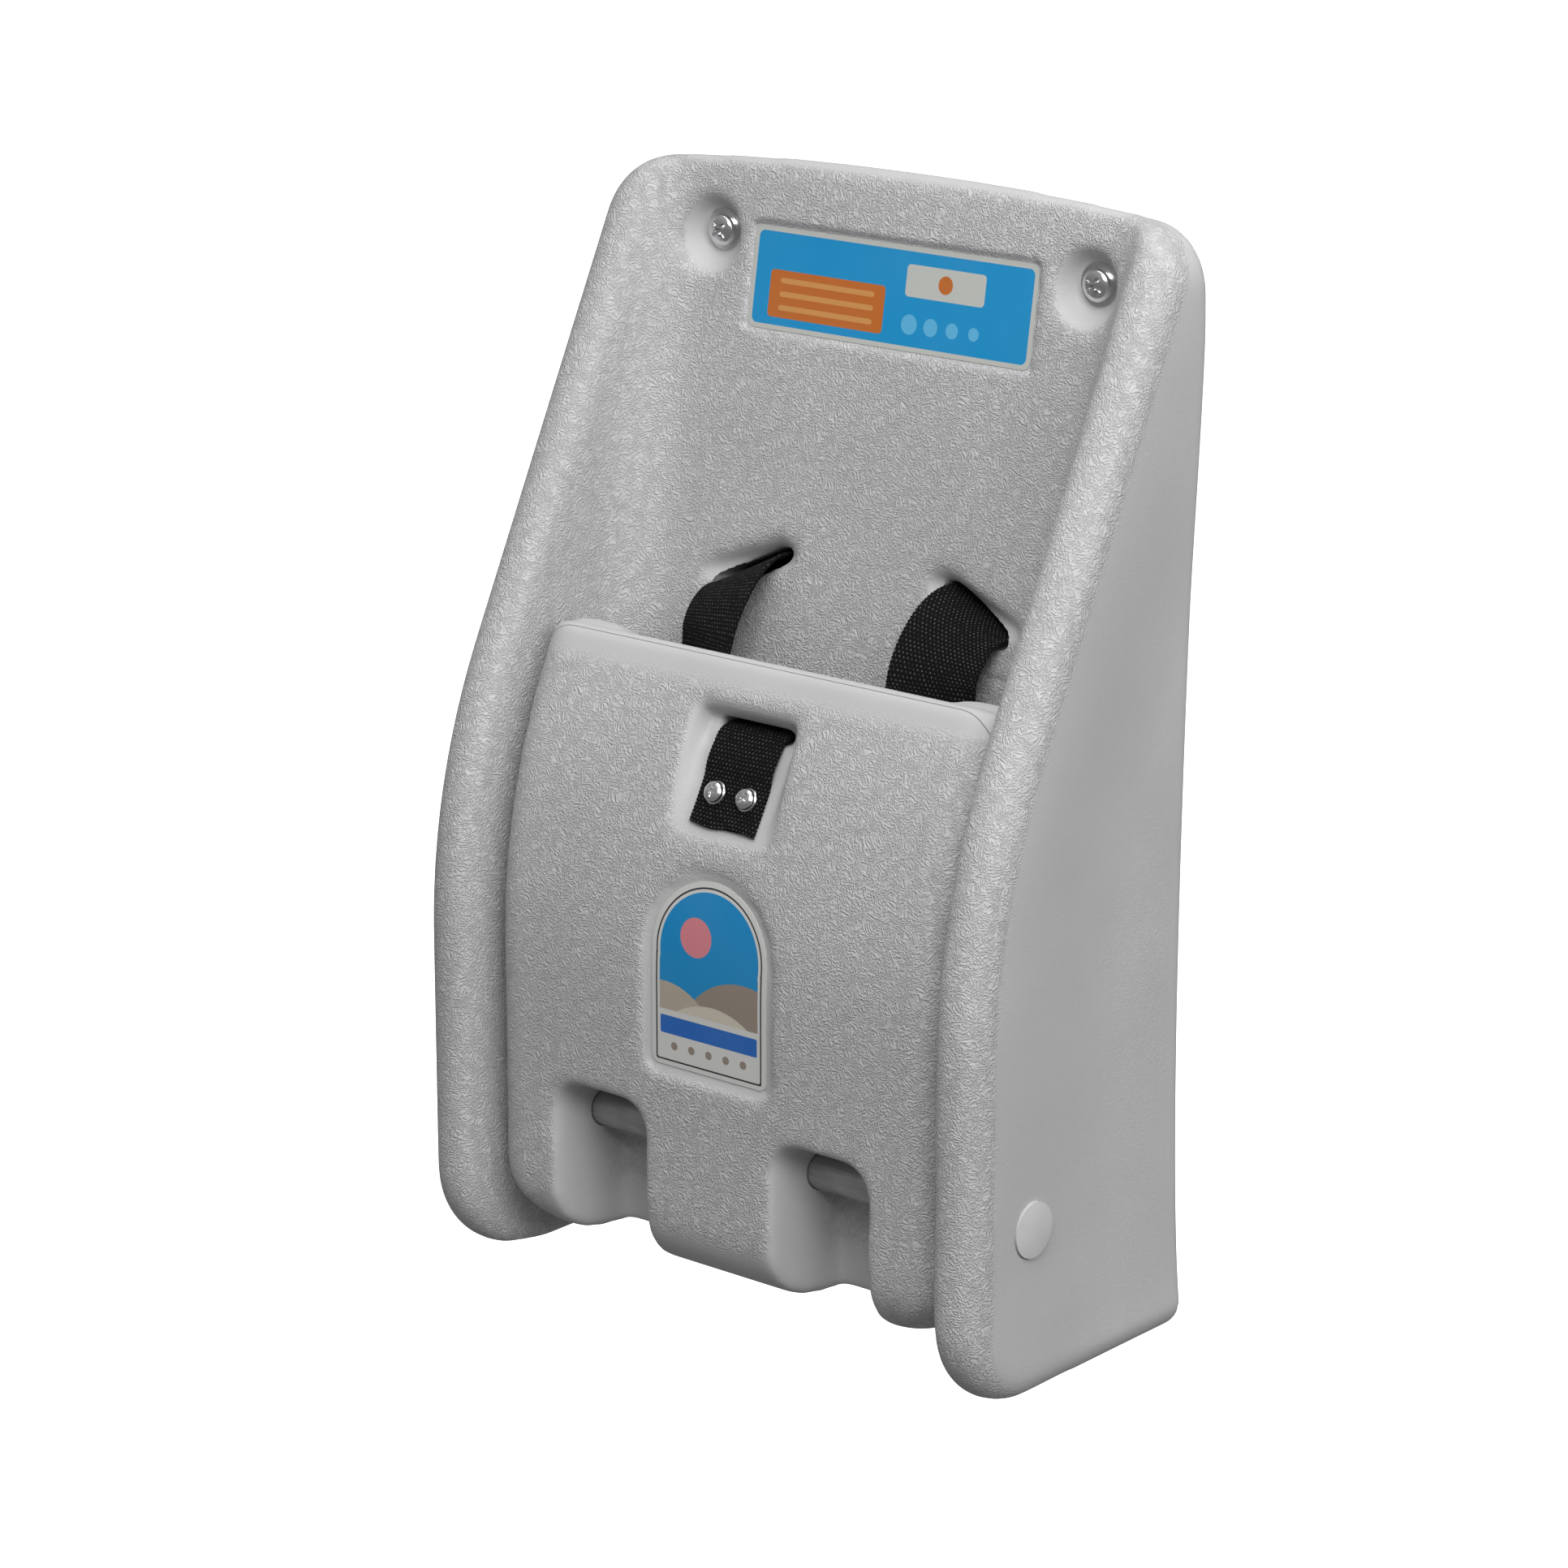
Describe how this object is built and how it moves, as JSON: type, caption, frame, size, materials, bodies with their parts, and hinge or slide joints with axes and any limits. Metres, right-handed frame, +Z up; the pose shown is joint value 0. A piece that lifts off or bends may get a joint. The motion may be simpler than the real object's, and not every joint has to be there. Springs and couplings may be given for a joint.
{
  "type": "wall-mounted folding child seat",
  "caption": "Wall-mounted child seat: a hollow moulded housing with side rails, a fold-down seat on a hinge rod, and a webbing harness with a buckle.",
  "frame": {"origin": "on the wall plane, midway between the two upper wall screws", "axes": "+Z up, +Y into the wall along the screws, +X to the right of a person facing the seat; the front faces -Y"},
  "size_m": [0.322, 0.1954, 0.505],
  "materials": {
    "grey_plastic": "light grey blow-moulded plastic with a fine wrinkled grain",
    "cap_plastic": "smooth light grey plastic",
    "label_print": "printed film with a satin laminate",
    "badge_print": "printed film with a satin laminate",
    "screw_steel": "bright stainless steel",
    "rod_steel": "dull grey zinc-plated steel",
    "bush_nylon": "natural nylon",
    "webbing": "black woven webbing",
    "buckle_plastic": "black moulded plastic with a fine grain"
  },
  "bodies": {
    "housing": {"housing": "grey_plastic", "instruction_label": "label_print", "upper_wall_screws": "screw_steel", "upper_wall_washers": "screw_steel", "lower_wall_screws": "screw_steel", "lower_wall_washers": "screw_steel", "hinge_rod": "rod_steel", "rod_end_cap_left": "cap_plastic", "rod_end_cap_right": "cap_plastic", "left_shoulder_strap": "webbing", "right_shoulder_strap": "webbing", "left_strap_bar": "rod_steel", "right_strap_bar": "rod_steel", "left_strap_keeper": "buckle_plastic", "right_strap_keeper": "buckle_plastic", "harness_yoke": "buckle_plastic"},
    "seat": {"seat_panel": "grey_plastic", "seat_badge": "badge_print", "hinge_bush_left": "bush_nylon", "hinge_bush_right": "bush_nylon", "crotch_strap": "webbing", "crotch_strap_screws": "screw_steel", "crotch_strap_washers": "screw_steel", "buckle_socket": "buckle_plastic"}
  },
  "joints": [
    {"name": "seat_fold", "type": "hinge", "parent": "housing", "child": "seat", "pos_m": [0, -0.1137, -0.3872], "axis": [1, 0, 0], "range_deg": [0, 90]}
  ]
}
